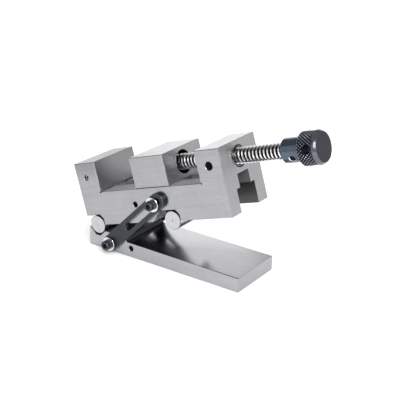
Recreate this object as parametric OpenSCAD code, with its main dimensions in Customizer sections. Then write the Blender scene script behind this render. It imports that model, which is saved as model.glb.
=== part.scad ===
// Sine vise: a precision screw vise carried on two rollers above a ground base.
// One roller lies in a vee in the base and is the hinge; the other is raised by
// sin(angle) x roller spacing. Slotted struts lock the angle.
// Right-handed frame: X along the base, Y across it (front side is -Y), +Z up,
// origin at the centre of the base's underside. Drawn at the tilt set below.

/* [Angle] */
// Height that the sine roller is raised above the table of the base (gives the drawn tilt)
lift_h = 30; // [4:1:54]

/* [Base] */
// Width of the base, the body and both jaws
width = 63; // [60:0.5:80]
// Length of the base plate
base_l = 184.5; // [180:0.5:220]
// Thickness of the base plate
base_t = 15; // [14:0.5:18]
// Height of the raised hinge block's top above the underside of the base
block_h = 19.8; // [19:0.1:21]
// Length of the raised hinge block
block_l = 48; // [46:1:52]
// Distance of the hinge roller's axis from the left end of the base
hinge_in = 11.3; // [11:0.1:13]

/* [Rollers] */
// Centre distance of the two rollers
roller_span = 100; // [98:1:104]
// Diameter of the rollers
roller_d = 19; // [18.6:0.2:19.4]

/* [Body] */
// How far the fixed jaw reaches behind the hinge roller's axis
body_back = 12; // [11.5:0.5:16]
// Distance from the hinge roller's axis to the fixed jaw's face
jaw_face = 16; // [15.5:0.5:18]
// Distance from the hinge roller's axis to the end block's inner face
end_in = 144.5; // [142:0.5:150]
// Distance from the hinge roller's axis to the end face
end_out = 172; // [170:0.5:178]
// Height of the jaw tops above the rollers' centre line
top_v = 66; // [65.5:0.5:70]
// Height of the bed above the rollers' centre line
bed_v = 34.5; // [34:0.5:36]
// Width of the narrow slot in the bed
slot_w = 19; // [17:0.5:21]
// Width of the channel under the bed
channel_w = 31; // [30:0.5:33]
// Height of the channel's roof above the rollers' centre line
channel_v = 22; // [21:0.5:23]

/* [Moving jaw] */
// Length of the moving jaw
jaw_l = 42; // [40:1:46]
// Drawn opening between the two jaws
jaw_open = 47.4; // [1:0.1:84]

/* [Screw] */
// Height of the screw's axis above the rollers' centre line
screw_v = 50.5; // [50:0.5:51]
// Outside diameter of the trapezoidal thread
screw_d = 16; // [14:1:16]
// Outside diameter of the knurled head
knob_d = 32.2; // [28:0.1:34]
// Outside diameter of the smooth collar
collar_d = 23.5; // [21:0.1:25]

/* [Struts] */
// Width of a strut
strut_w = 16.5; // [16:0.5:18]
// Thickness of a strut
strut_t = 4.4; // [4:0.1:6]
// Length of a strut between the centres of its round ends
strut_l = 86.5; // [86:0.5:98]
// Width of the slot in a strut
strut_slot = 7.3; // [7.2:0.1:7.6]

/* [Hidden] */
$fn = 64;
e = 0.01;
half = width / 2;
tilt = asin(lift_h / roller_span);
roller_r = roller_d / 2;
// hinge axis in the frame of the part
hx = -base_l / 2 + hinge_in;
hz = base_t + roller_r;
// radius of the seats beside each roller, and of the vee under the hinge roller
seat = roller_r + 0.6;
vee = roller_r + 0.25;
// underside of the body, and where the notch for the sine roller starts
under_v = -0.7;
notch_u = roller_span - seat - 14;
// running gaps: strut beside body, washer on strut, plate under the bed
gap = 0.1;
face_gap = 0.05;
// M6 clamp screws: bore, shank, head
m6_bore = 3.0;
m6_shank = 2.95;
m6_head_r = 5;
m6_head_h = 6;
washer_r = 7.5;
washer_t = 1.6;
// screw holes of the struts: x along the base, u and v on the body
pivot_x = 18.5;
pivot_z = 9.5;
spare_pitch = 25;
clamp_u = 83.5;
clamp_v = 18.5;
body_spare_u = 57.6;
hole_deep = 12;
// where the upper clamp screw stands, seen from the strut's pivot
q_x = clamp_u * cos(tilt) - clamp_v * sin(tilt);
q_z = clamp_u * sin(tilt) + clamp_v * cos(tilt);
p_z = pivot_z - hz;
strut_angle = atan2(q_z - p_z, q_x - pivot_x) - 0.38;
slot_from = 35.5;
slot_to = 86.2;
// moving jaw
jaw_u = jaw_face + jaw_open;
jaw_end = jaw_u + jaw_l;
jaw_clear = 0.05;
tongue_l = 36;
// lead screw and its seat in the moving jaw
cup_r = 12;
cup_deep = 12;
journal_r = 6;
journal_l = 14;
journal_bore = 6.08;
neck_r = 3.9;
neck_w = 4.3;
neck_at = 7.4;
pin_r = 2;
knob_u = jaw_end + 119.15;
collar_l = 18.8;
head_l = 20.0;
// the knurled band is this much smaller in radius than the smooth rim
knurl_in = 0.15;
nut_r = 10.5;
// the nut ends this far inside the end face
nut_out = end_out - 0.3;
// knob features: angle about the screw's axis from the side that faces the front
bar_r = 4.25;
bar_turn = 8;
set_turn = -30;

// places the vise body's own frame: u along the bed, y across, v square to the bed
module on_body() translate([hx, 0, hz]) rotate([0, -tilt, 0]) children();
// extrudes a drawing made in (u, v) across the width w, centred
module across(w) rotate([90, 0, 0]) linear_extrude(w, center = true) children();
// turns children drawn along +Z so that they run along the body's u axis, at the screw's height
module along_u(u) translate([u, 0, screw_v]) rotate([0, 90, 0]) children();
// a cylinder that runs from y0 towards -Y (side = -1) or +Y (side = 1)
module side_pin(x, z, r, y0, l, side) translate([x, side * y0, z]) rotate([-90 * side, 0, 0]) cylinder(h = l, r = r);
// blind holes drilled into the front and back side faces
module side_holes(x, z, r, deep) for (s = [-1, 1]) side_pin(x, z, r, half - deep, deep + 1, s);
// hexagon socket of a cap screw, its mouth at the origin, cut towards -Z
module hex_socket(af, deep) translate([0, 0, -deep]) cylinder(h = deep + 1, d = af / cos(30), $fn = 6);
// socket head cap screw: underside of the head at the origin, head towards +Z, shank towards -Z
module cap_screw(head_r, head_h, shank_r, shank_l, af) {
    difference() {
        union() {
            cylinder(h = head_h - 0.5, r = head_r);
            translate([0, 0, head_h - 0.5]) cylinder(h = 0.5, r1 = head_r, r2 = head_r - 0.5);
            translate([0, 0, -shank_l]) cylinder(h = shank_l + e, r = shank_r);
        }
        translate([0, 0, head_h]) hex_socket(af, head_h * 0.55);
    }
}
// slotless set screw with a hexagon socket, its outer face at the origin, body towards -Z
module grub(r, l, af) difference() {
    translate([0, 0, -l]) cylinder(h = l, r = r);
    hex_socket(af, l * 0.5);
}
// places a screw drawn along Z on a side face, its head pointing out of that face
module on_side(x, z, y, side) translate([x, side * y, z]) rotate([-90 * side, 0, 0]) children();

// ---- base and struts ----
module base() color([0.78, 0.79, 0.80]) {
    c = vee * sqrt(2);
    vee_z = base_t - 1.6;
    difference() {
        across(width) polygon([
            [-base_l / 2, 0], [base_l / 2, 0], [base_l / 2, base_t],
            [-base_l / 2 + block_l + 2.5, base_t], [-base_l / 2 + block_l, base_t + 2.5],
            [-base_l / 2 + block_l, block_h],
            [hx + c - (hz - block_h), block_h], [hx + c - (hz - vee_z), vee_z],
            [hx - c + (hz - vee_z), vee_z], [hx - c + (hz - block_h), block_h],
            [-base_l / 2, block_h]]);
        // round the root of the hinge block
        translate([-base_l / 2 + block_l + 2.5, 0, base_t + 2.5]) rotate([90, 0, 0]) cylinder(h = width + 2, r = 2.5, center = true);
        // tapped holes for the struts: the one in use and the spare
        side_holes(hx + pivot_x, pivot_z, m6_bore, hole_deep);
        side_holes(hx + pivot_x + spare_pitch, pivot_z, m6_bore, hole_deep);
    }
}
module strut(side) {
    y0 = half + gap;
    translate([hx + pivot_x, 0, pivot_z]) rotate([0, -strut_angle, 0]) difference() {
        union() {
            for (d = [0, strut_l]) side_pin(d, 0, strut_w / 2, y0, strut_t, side);
            translate([strut_l / 2, side * (y0 + strut_t / 2), 0]) cube([strut_l, strut_t, strut_w], center = true);
        }
        side_pin(0, 0, 3.03, y0 - 1, strut_t + 2, side);
        for (d = [slot_from, slot_to]) side_pin(d, 0, strut_slot / 2, y0 - 1, strut_t + 2, side);
        translate([(slot_from + slot_to) / 2, side * (y0 + strut_t / 2), 0]) cube([slot_to - slot_from, strut_t + 2, strut_slot], center = true);
    }
}
module near_strut() color([0.28, 0.30, 0.33]) strut(-1);
module far_strut() color([0.28, 0.30, 0.33]) strut(1);
module washer(x, z, side) difference() {
    side_pin(x, z, washer_r, half + gap + strut_t + face_gap, washer_t, side);
    side_pin(x, z, 3.2, half, 12, side);
}
head_y = half + gap + strut_t + face_gap + washer_t;
shank_l = head_y - half + hole_deep - 1;
module lower_washers() color([0.88, 0.89, 0.90]) for (s = [-1, 1]) washer(hx + pivot_x, pivot_z, s);
module lower_clamp(side) on_side(hx + pivot_x, pivot_z, head_y, side) cap_screw(m6_head_r, m6_head_h, m6_shank, shank_l, 5);
module lower_clamp_screw_near() color([0.16, 0.17, 0.19]) lower_clamp(-1);
module lower_clamp_screw_far() color([0.16, 0.17, 0.19]) lower_clamp(1);

// ---- vise body ----
module body_outline() difference() {
    polygon([
        [-body_back, seat], [seat - 4.2, seat], [seat, seat - 5.2], [seat, under_v],
        [notch_u, under_v], [notch_u + seat - under_v, seat],
        [roller_span + seat - 4.2, seat], [roller_span + seat, seat - 5.2], [roller_span + seat, under_v],
        [end_out, under_v], [end_out, top_v], [end_in, top_v], [end_in, bed_v],
        [jaw_face, bed_v], [jaw_face, top_v], [-body_back, top_v]]);
    // grinding reliefs in the two inner corners of the bed
    translate([jaw_face, bed_v]) rotate(225) translate([-1.2, -0.85]) square([3.2, 1.7]);
    translate([end_in, bed_v]) rotate(-45) translate([-1.2, -0.7]) square([2.8, 1.4]);
}
module vise_body() color([0.74, 0.75, 0.77]) on_body() difference() {
    across(width) body_outline();
    // narrow slot through the bed and wide channel under it, open at the end face
    translate([jaw_face - 3, -slot_w / 2, channel_v - 1]) cube([end_out, slot_w, bed_v + 0.6 - channel_v + 1]);
    translate([jaw_face - 5, -channel_w / 2, under_v - 1]) cube([end_out, channel_w, channel_v - under_v + 1]);
    // seat of the nut, and the hole of its lock screw
    along_u(end_in - 1) cylinder(h = end_out - end_in + 2, r = nut_r);
    along_u(end_out - 0.5) cylinder(h = 0.6, r1 = nut_r, r2 = nut_r + 0.6);
    side_pin((end_in + end_out) / 2, screw_v - 0.3, 4.25, nut_r - 1, half - nut_r + 2, -1);
    // plugged hole for a work stop in the fixed jaw
    side_pin(0.9, screw_v, m6_bore, half - hole_deep, hole_deep + 1, -1);
    // tapped holes for the struts: the one in use and the spare
    side_holes(clamp_u, clamp_v, m6_bore, hole_deep);
    side_holes(body_spare_u, clamp_v, m6_bore, hole_deep);
    // tapped holes over the rollers
    for (u = [0, roller_span], s = [-1, 1]) translate([u, s * 24, seat - 1]) cylinder(h = 13, r = 2.5);
}
module roller(u) on_body() difference() {
    union() {
        translate([u, 0, 0]) rotate([90, 0, 0]) cylinder(h = width - 0.8, r = roller_r, center = true);
        for (s = [-1, 1]) translate([u, s * (half - 0.4), 0]) rotate([-90 * s, 0, 0]) cylinder(h = 0.4, r1 = roller_r, r2 = roller_r - 0.4);
    }
    for (s = [-1, 1]) {
        translate([u, s * 24, -roller_r - 1]) cylinder(h = roller_r - 4 + 1, r = 4.6);
        translate([u, s * 24, -roller_r]) cylinder(h = 2 * roller_r + 1, r = 2.8);
        // turning centre in each end
        translate([u, s * (half - 1.2), 0]) rotate([-90 * s, 0, 0]) cylinder(h = 1.3, r1 = 0.2, r2 = 0.8);
    }
}
module hinge_roller() color([0.86, 0.87, 0.88]) roller(0);
module sine_roller() color([0.86, 0.87, 0.88]) roller(roller_span);
module roller_screws() color([0.16, 0.17, 0.19]) on_body()
    for (u = [0, roller_span], s = [-1, 1]) translate([u, s * 24, -4]) rotate([180, 0, 0]) cap_screw(4.25, 4.8, 2.45, 24, 4);
module upper_washers() color([0.88, 0.89, 0.90]) on_body() for (s = [-1, 1]) washer(clamp_u, clamp_v, s);
module upper_clamp(side) on_body() on_side(clamp_u, clamp_v, head_y, side) cap_screw(m6_head_r, m6_head_h, m6_shank, shank_l, 5);
module upper_clamp_screw_near() color([0.16, 0.17, 0.19]) upper_clamp(-1);
module upper_clamp_screw_far() color([0.16, 0.17, 0.19]) upper_clamp(1);
module bronze_nut() color([0.66, 0.53, 0.36]) on_body() difference() {
    along_u(end_in + 0.2) cylinder(h = nut_out - end_in - 0.2, r = nut_r - 0.12);
    along_u(end_in - 1) cylinder(h = end_out - end_in + 2, r = screw_d / 2 + 0.08);
    along_u(nut_out - 0.9) cylinder(h = 1, r1 = screw_d / 2, r2 = screw_d / 2 + 1);
    along_u(end_in + 0.1) cylinder(h = 1.3, r1 = screw_d / 2 + 1.2, r2 = screw_d / 2);
}
module nut_lock_screw() color([0.16, 0.17, 0.19]) on_body()
    on_side((end_in + end_out) / 2, screw_v - 0.3, nut_r + 9, -1) grub(4.1, 8.6, 4);
module stop_hole_plug() color([0.24, 0.25, 0.27]) on_body()
    on_side(0.9, screw_v, half - 1.6, -1) grub(m6_shank, 8, 3);

// ---- moving jaw ----
module moving_jaw() color([0.74, 0.75, 0.77]) on_body() difference() {
    union() {
        translate([jaw_u, -half, bed_v + jaw_clear]) cube([jaw_l, width, top_v - bed_v - jaw_clear]);
        translate([jaw_u + (jaw_l - tongue_l) / 2, -(slot_w - 0.2) / 2, channel_v - gap]) cube([tongue_l, slot_w - 0.2, bed_v - channel_v + 1]);
    }
    // seat of the screw: wide cup, then the bore of its journal
    along_u(jaw_end - cup_deep) cylinder(h = cup_deep + 1, r = cup_r);
    along_u(jaw_end - cup_deep - journal_l - 0.2) cylinder(h = journal_l + 1, r = journal_bore);
    // holes of the pins that hold the screw by its neck
    for (s = [-1, 1]) translate([jaw_end - cup_deep - neck_at, s * (neck_r + pin_r + 0.15), channel_v - 1]) cylinder(h = 36, r = pin_r + 0.02);
    // tapped holes of the hold-down plate
    for (u = [8, tongue_l - 8]) translate([jaw_u + (jaw_l - tongue_l) / 2 + u, 0, channel_v - 1]) cylinder(h = 17, r = m6_bore);
}
module hold_down_plate() color([0.62, 0.63, 0.65]) on_body() difference() {
    translate([jaw_u + (jaw_l - tongue_l) / 2, -(channel_w - 0.8) / 2, channel_v - gap - 9.4]) cube([tongue_l, channel_w - 0.8, 9.4]);
    for (u = [8, tongue_l - 8]) translate([jaw_u + (jaw_l - tongue_l) / 2 + u, 0, channel_v - gap]) {
        translate([0, 0, -10]) cylinder(h = 11, r = 3.2);
        translate([0, 0, -10]) cylinder(h = 7, r = 5.4);
    }
}
module hold_down_screws() color([0.16, 0.17, 0.19]) on_body() for (u = [8, tongue_l - 8])
    translate([jaw_u + (jaw_l - tongue_l) / 2 + u, 0, channel_v - gap - 3]) rotate([180, 0, 0]) cap_screw(m6_head_r, m6_head_h, m6_shank - 0.05, 17, 5);
module retaining_pins() color([0.80, 0.81, 0.82]) on_body() for (s = [-1, 1])
    translate([jaw_end - cup_deep - neck_at, s * (neck_r + pin_r + 0.15), channel_v + 0.3]) cylinder(h = 34, r = pin_r);
module thrust_pad() color([0.80, 0.81, 0.82]) on_body() along_u(jaw_end - cup_deep - journal_l - 0.1) cylinder(h = 2.2, r = journal_r - 0.05);

// ---- screw and knob ----
module lead_screw() color([0.80, 0.80, 0.81]) on_body() {
    difference() {
        union() {
            along_u(jaw_end - cup_deep - journal_l + 2.2) cylinder(h = journal_l - 2, r = journal_r);
            along_u(jaw_end - cup_deep + 0.2) cylinder(h = 1.2, r1 = screw_d / 2 - 1.2, r2 = screw_d / 2);
            along_u(jaw_end - cup_deep + 1.4) cylinder(h = knob_u - jaw_end + cup_deep - 1.45, r = screw_d / 2);
            along_u(knob_u - 1) cylinder(h = collar_l + 6, r = journal_r);
        }
        along_u(jaw_end - cup_deep - neck_at - neck_w / 2) difference() {
            cylinder(h = neck_w, r = journal_r + 1);
            translate([0, 0, -1]) cylinder(h = neck_w + 2, r = neck_r);
        }
    }
}
module knob() color([0.20, 0.22, 0.25]) on_body() difference() {
    union() {
        along_u(knob_u) cylinder(h = 0.6, r1 = collar_d / 2 - 0.6, r2 = collar_d / 2);
        along_u(knob_u + 0.6) cylinder(h = collar_l, r = collar_d / 2);
        along_u(knob_u + collar_l) cylinder(h = 1.5, r1 = knob_d / 2 - 1.35 - knurl_in, r2 = knob_d / 2 - knurl_in);
        along_u(knob_u + collar_l + 1.4) cylinder(h = head_l - 5, r = knob_d / 2 - knurl_in);
        along_u(knob_u + collar_l + head_l - 3.9) cylinder(h = 0.5, r = knob_d / 2);
        along_u(knob_u + collar_l + head_l - 3.5) cylinder(h = 3.5, r1 = knob_d / 2, r2 = knob_d / 2 - 2);
    }
    // blind bore for the screw's end
    along_u(knob_u - 1) cylinder(h = collar_l + 6.3, r = journal_r + 0.02);
    // cross hole for a tommy bar
    translate([knob_u + 29.1, 0, screw_v]) rotate([-bar_turn, 0, 0]) rotate([90, 0, 0]) cylinder(h = knob_d + 2, r = bar_r, center = true);
    // tapped hole of the set screw
    translate([knob_u + 10.6, 0, screw_v]) rotate([-set_turn, 0, 0]) rotate([90, 0, 0]) cylinder(h = collar_d, r = 2.9);
}
module knob_set_screw() color([0.75, 0.76, 0.78]) on_body()
    translate([knob_u + 10.6, 0, screw_v]) rotate([-set_turn, 0, 0]) rotate([90, 0, 0]) translate([0, 0, collar_d / 2 - 2.3]) grub(2.85, 3.2, 3);

base();
near_strut();
far_strut();
lower_washers();
lower_clamp_screw_near();
lower_clamp_screw_far();
vise_body();
hinge_roller();
sine_roller();
roller_screws();
upper_washers();
upper_clamp_screw_near();
upper_clamp_screw_far();
bronze_nut();
nut_lock_screw();
stop_hole_plug();
moving_jaw();
hold_down_plate();
hold_down_screws();
retaining_pins();
thrust_pad();
lead_screw();
knob();
knob_set_screw();
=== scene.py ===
import bmesh
import bpy
import math
from mathutils import Matrix, Vector


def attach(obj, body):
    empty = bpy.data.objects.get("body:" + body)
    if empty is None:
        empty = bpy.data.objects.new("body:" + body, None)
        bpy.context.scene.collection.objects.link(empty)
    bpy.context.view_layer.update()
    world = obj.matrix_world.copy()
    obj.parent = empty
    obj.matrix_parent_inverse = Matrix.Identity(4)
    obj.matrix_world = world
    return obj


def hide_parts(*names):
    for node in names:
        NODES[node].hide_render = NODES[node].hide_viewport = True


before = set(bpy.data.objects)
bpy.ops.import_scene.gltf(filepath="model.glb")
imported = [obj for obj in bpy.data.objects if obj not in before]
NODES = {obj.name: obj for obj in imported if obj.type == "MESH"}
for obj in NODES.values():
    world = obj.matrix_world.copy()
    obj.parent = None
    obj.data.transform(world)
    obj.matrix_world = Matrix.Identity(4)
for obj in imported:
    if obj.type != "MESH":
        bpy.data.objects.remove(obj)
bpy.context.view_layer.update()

MM = 0.001

# ---------------------------------------------------------------- frames
TILT = math.asin(0.3)
CT, ST = math.cos(TILT), math.sin(TILT)
HINGE = Vector((-0.08095, 0.0, 0.0245))
SCREW_V = 50.5
KNOB_U = 224.55


def from_body(u, y, v):
    """A point of the vise body's own frame, in mm, to the row frame, in metres."""
    return Vector((HINGE.x + (u * CT - v * ST) * MM, y * MM, HINGE.z + (u * ST + v * CT) * MM))


def to_body(p):
    d = p - HINGE
    return Vector(((d.x * CT + d.z * ST) / MM, p.y / MM, (-d.x * ST + d.z * CT) / MM))


def to_base(p):
    return Vector((p.x / MM, p.y / MM, p.z / MM))


# ---------------------------------------------------------------- node helpers
class Tree:
    """Small helper to wire a material."""

    def __init__(self, name):
        self.mat = bpy.data.materials.new(name)
        self.mat.use_nodes = True
        self.t = self.mat.node_tree
        self.t.nodes.clear()
        self.out = self.t.nodes.new("ShaderNodeOutputMaterial")
        self.bsdf = self.t.nodes.new("ShaderNodeBsdfPrincipled")
        self.link(self.bsdf.outputs["BSDF"], self.out.inputs["Surface"])

    def link(self, a, b):
        self.t.links.new(a, b)

    def new(self, kind, **props):
        n = self.t.nodes.new(kind)
        for k, v in props.items():
            setattr(n, k, v)
        return n

    def put(self, socket, value):
        if hasattr(value, "is_output"):
            self.link(value, socket)
        else:
            socket.default_value = value

    def coords(self, body=True):
        """Object coordinates in millimetres, in the body's frame or the base's."""
        tc = self.new("ShaderNodeTexCoord")
        m = self.new("ShaderNodeMapping", vector_type="TEXTURE")
        m.inputs["Location"].default_value = HINGE if body else (0, 0, 0)
        m.inputs["Rotation"].default_value = (0, -TILT, 0) if body else (0, 0, 0)
        m.inputs["Scale"].default_value = (MM, MM, MM)
        self.link(tc.outputs["Object"], m.inputs["Vector"])
        return m.outputs["Vector"]

    def scaled(self, vec, s, shift=(0, 0, 0)):
        m = self.new("ShaderNodeMapping", vector_type="POINT")
        m.inputs["Scale"].default_value = s
        m.inputs["Location"].default_value = shift
        self.link(vec, m.inputs["Vector"])
        return m.outputs["Vector"]

    def noise(self, vec, scale=1.0, detail=2.0, rough=0.5, distortion=0.0):
        n = self.new("ShaderNodeTexNoise")
        n.inputs["Scale"].default_value = scale
        n.inputs["Detail"].default_value = detail
        n.inputs["Roughness"].default_value = rough
        n.inputs["Distortion"].default_value = distortion
        self.link(vec, n.inputs["Vector"])
        return n.outputs["Fac"]

    def math(self, op, a, b=0.0, c=0.0, clamp=False):
        n = self.new("ShaderNodeMath", operation=op, use_clamp=clamp)
        self.put(n.inputs[0], a)
        self.put(n.inputs[1], b)
        self.put(n.inputs[2], c)
        return n.outputs[0]

    def remap(self, v, a, b, lo, hi):
        n = self.new("ShaderNodeMapRange")
        self.link(v, n.inputs["Value"])
        for k, x in (("From Min", a), ("From Max", b), ("To Min", lo), ("To Max", hi)):
            n.inputs[k].default_value = x
        return n.outputs["Result"]

    def mix_color(self, fac, a, b, mode="MIX"):
        n = self.new("ShaderNodeMix", data_type="RGBA", blend_type=mode)
        self.put(n.inputs["Factor"], fac)
        self.put(n.inputs["A"], a)
        self.put(n.inputs["B"], b)
        return n.outputs["Result"]

    def separate(self, vec):
        n = self.new("ShaderNodeSeparateXYZ")
        self.link(vec, n.inputs[0])
        return n.outputs

    def combine(self, x, y, z):
        n = self.new("ShaderNodeCombineXYZ")
        for s, v in zip(n.inputs, (x, y, z)):
            self.put(s, v)
        return n.outputs[0]

    def bump(self, height, strength, distance):
        n = self.new("ShaderNodeBump")
        n.inputs["Strength"].default_value = strength
        n.inputs["Distance"].default_value = distance
        self.link(height, n.inputs["Height"])
        self.link(n.outputs["Normal"], self.bsdf.inputs["Normal"])

    def set(self, **values):
        names = {"color": "Base Color", "metallic": "Metallic", "roughness": "Roughness", "aniso": "Anisotropic",
                 "aniso_rot": "Anisotropic Rotation", "coat": "Coat Weight", "coat_rough": "Coat Roughness",
                 "ior": "IOR", "spec": "Specular IOR Level"}
        for k, v in values.items():
            self.put(self.bsdf.inputs[names[k]], v)


def grey(v, r=1.0, b=1.0):
    return (v * r, v, v * b, 1.0)


def wear(t, color, edge_color, strength=0.6, radius=0.0006):
    """Rubbed, brighter edges: the difference between the true and the rounded normal."""
    bev = t.new("ShaderNodeBevel", samples=4)
    bev.inputs["Radius"].default_value = radius
    geo = t.new("ShaderNodeNewGeometry")
    dot = t.new("ShaderNodeVectorMath", operation="DOT_PRODUCT")
    t.link(bev.outputs["Normal"], dot.inputs[0])
    t.link(geo.outputs["Normal"], dot.inputs[1])
    fac = t.remap(dot.outputs["Value"], 0.995, 0.90, 0.0, strength)
    return t.mix_color(fac, color, edge_color)


def ground_steel(name, axis, body=True, tone=0.365, rough=0.25, streak=0.05, line=1.0, aniso=0.5, cloudy=0.3,
                 metallic=1.0, shade=None):
    """Surface-ground steel. axis is the direction of the grinding lines: 0 = length, 1 = across, 2 = height.

    shade = (u0, u1, v0, v1, k): painted shade, darker by the factor k below u0 and above v1, fading out towards u1 and
    v0."""
    t = Tree(name)
    p = t.coords(body)
    # long soft streaks, fine lines, and faint clouds
    s = [0.55] * 3
    s[axis] = 0.012
    streaks = t.noise(t.scaled(p, tuple(s), (3.1, 7.7, 1.3)), 1.0, 3.0, 0.55)
    s = [5.0] * 3
    s[axis] = 0.05
    fine = t.noise(t.scaled(p, tuple(s)), 1.0, 2.0, 0.6)
    s = [24.0] * 3
    s[axis] = 0.25
    hair = t.noise(t.scaled(p, tuple(s), (11.0, 5.0, 2.0)), 1.0, 1.0, 0.5)
    cloud = t.noise(p, 0.04, 3.0, 0.5)
    speck = t.noise(p, 0.9, 2.0, 0.6)
    f = t.math("ADD", t.math("MULTIPLY", streaks, 0.35), t.math("MULTIPLY", fine, 0.65))
    f = t.math("ADD", f, t.math("MULTIPLY", t.math("SUBTRACT", cloud, 0.5), cloudy))
    f = t.math("ADD", f, t.math("MULTIPLY", t.math("SUBTRACT", speck, 0.5), 0.6))
    f = t.remap(f, 0.3, 0.7, 0.0, 1.0)
    lo, hi = tone * (1 - streak), tone * (1 + streak)
    col = t.mix_color(f, (lo * 0.985, lo * 0.99, lo * 1.035, 1), (hi * 0.99, hi * 0.992, hi * 1.03, 1))
    # painted shade: the colour darkens towards blue-black in the given corner of the part
    if shade:
        u0, u1, v0, v1, k = shade
        x, y, z = t.separate(p)
        painted_shade = t.math("MULTIPLY", t.remap(x, u0, u1, 1.0, 0.0), t.remap(z, v0, v1, 0.0, 1.0 - k))
        col = t.mix_color(painted_shade, col, (0.0, 0.0, 0.012, 1))
    r = t.remap(f, 0.0, 1.0, rough * 1.1, rough * 0.92)
    h = t.math("ADD", t.math("MULTIPLY", fine, 0.5), t.math("MULTIPLY", hair, 0.5))
    t.set(color=col, metallic=metallic, roughness=r, aniso=aniso)
    # the reflection spreads across the lines
    line_dir = [0.0, 0.0, 0.0]
    line_dir[axis] = 1.0
    if body:
        line_dir = [line_dir[0] * CT - line_dir[2] * ST, line_dir[1], line_dir[0] * ST + line_dir[2] * CT]
    geo = t.new("ShaderNodeNewGeometry")
    cross = t.new("ShaderNodeVectorMath", operation="CROSS_PRODUCT")
    t.link(geo.outputs["Normal"], cross.inputs[0])
    cross.inputs[1].default_value = line_dir
    t.link(cross.outputs["Vector"], t.bsdf.inputs["Tangent"])
    t.bump(h, 0.10 * line, 0.00003)
    return t.mat


def milled_steel(name, body=True, tone=0.34, rough=0.38, axis=0, metallic=1.0, painted_shade_past=None):
    """As-milled walls of slots and undersides: darker, with feed marks. The last argument (u0, u1, k) is painted shade:
    darker by k past u1.
    """
    t = Tree(name)
    p = t.coords(body)
    s = [0.9] * 3
    s[axis] = 0.05
    f = t.noise(t.scaled(p, tuple(s)), 1.0, 3.0, 0.6)
    cloud = t.noise(p, 0.07, 3.0, 0.6)
    w = t.new("ShaderNodeTexWave", wave_type="BANDS", bands_direction="XYZ"[axis], wave_profile="SIN")
    w.inputs["Scale"].default_value = 0.9
    w.inputs["Distortion"].default_value = 1.2
    w.inputs["Detail"].default_value = 1.0
    t.link(t.scaled(p, (1.0, 0.06, 0.06) if axis == 0 else (0.06, 1.0, 0.06) if axis == 1 else (0.06, 0.06, 1.0)), w.inputs["Vector"])
    m = t.math("ADD", t.math("MULTIPLY", f, 0.6), t.math("MULTIPLY", w.outputs["Fac"], 0.25))
    m = t.math("ADD", m, t.math("MULTIPLY", cloud, 0.3))
    m = t.remap(m, 0.3, 0.85, 0.0, 1.0)
    col = t.mix_color(m, grey(tone * 0.8, 0.99, 1.04), grey(tone * 1.15, 0.99, 1.03))
    # painted shade: darker past u1, where the slot runs under the end block
    if painted_shade_past:
        x, y, z = t.separate(p)
        col = t.mix_color(t.remap(x, painted_shade_past[0], painted_shade_past[1], 0.0, 1.0 - painted_shade_past[2]), col, (0, 0, 0, 1))
    t.set(color=col, metallic=metallic, roughness=t.remap(m, 0.0, 1.0, rough * 1.2, rough * 0.85))
    t.bump(m, 0.35, 0.00006)
    return t.mat


def scale_steel(name, body=True, tone=0.03, speck=0.0, rough=0.5):
    """Unground faces that kept their black scale. speck = how much of it is broken off to bright metal."""
    t = Tree(name)
    p = t.coords(body)
    n1 = t.noise(p, 0.5, 4.0, 0.7)
    n2 = t.noise(t.scaled(p, (0.75, 0.75, 0.75), (4, 1, 9)), 1.0, 2.0, 0.7)
    m = t.remap(n1, 0.3, 0.7, 0.0, 1.0)
    col = t.mix_color(m, grey(tone * 0.7, 0.93, 1.2), grey(tone * 1.4, 0.94, 1.16))
    k = t.remap(n2, 0.62 - 0.16 * speck, 0.66 - 0.12 * speck, 0.0, min(1.0, 0.12 + speck))
    col = t.mix_color(k, col, grey(0.6, 0.99, 1.02))
    t.set(color=col, metallic=t.remap(k, 0, 1, 0.6, 0.35 if speck else 1.0), roughness=t.remap(m, 0, 1, rough * 1.15, rough * 0.8))
    t.bump(n1, 0.5, 0.00015)
    return t.mat


def round_steel(name, body=True, tone=0.62, rough=0.16, axis=1, streak=0.05):
    """Ground or turned round stock: fine rings round its axis."""
    t = Tree(name)
    p = t.coords(body)
    s = [0.12] * 3
    s[axis] = 3.5
    f = t.noise(t.scaled(p, tuple(s)), 1.0, 3.0, 0.6)
    cloud = t.noise(p, 0.2, 2.0, 0.5)
    m = t.remap(t.math("ADD", t.math("MULTIPLY", f, 0.7), t.math("MULTIPLY", cloud, 0.3)), 0.3, 0.7, 0, 1)
    col = t.mix_color(m, grey(tone * (1 - streak), 0.99, 1.01), grey(tone * (1 + streak), 0.995, 1.0))
    t.set(color=col, metallic=1.0, roughness=t.remap(m, 0, 1, rough * 1.2, rough * 0.85))
    t.bump(f, 0.12, 0.00003)
    return t.mat


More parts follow.
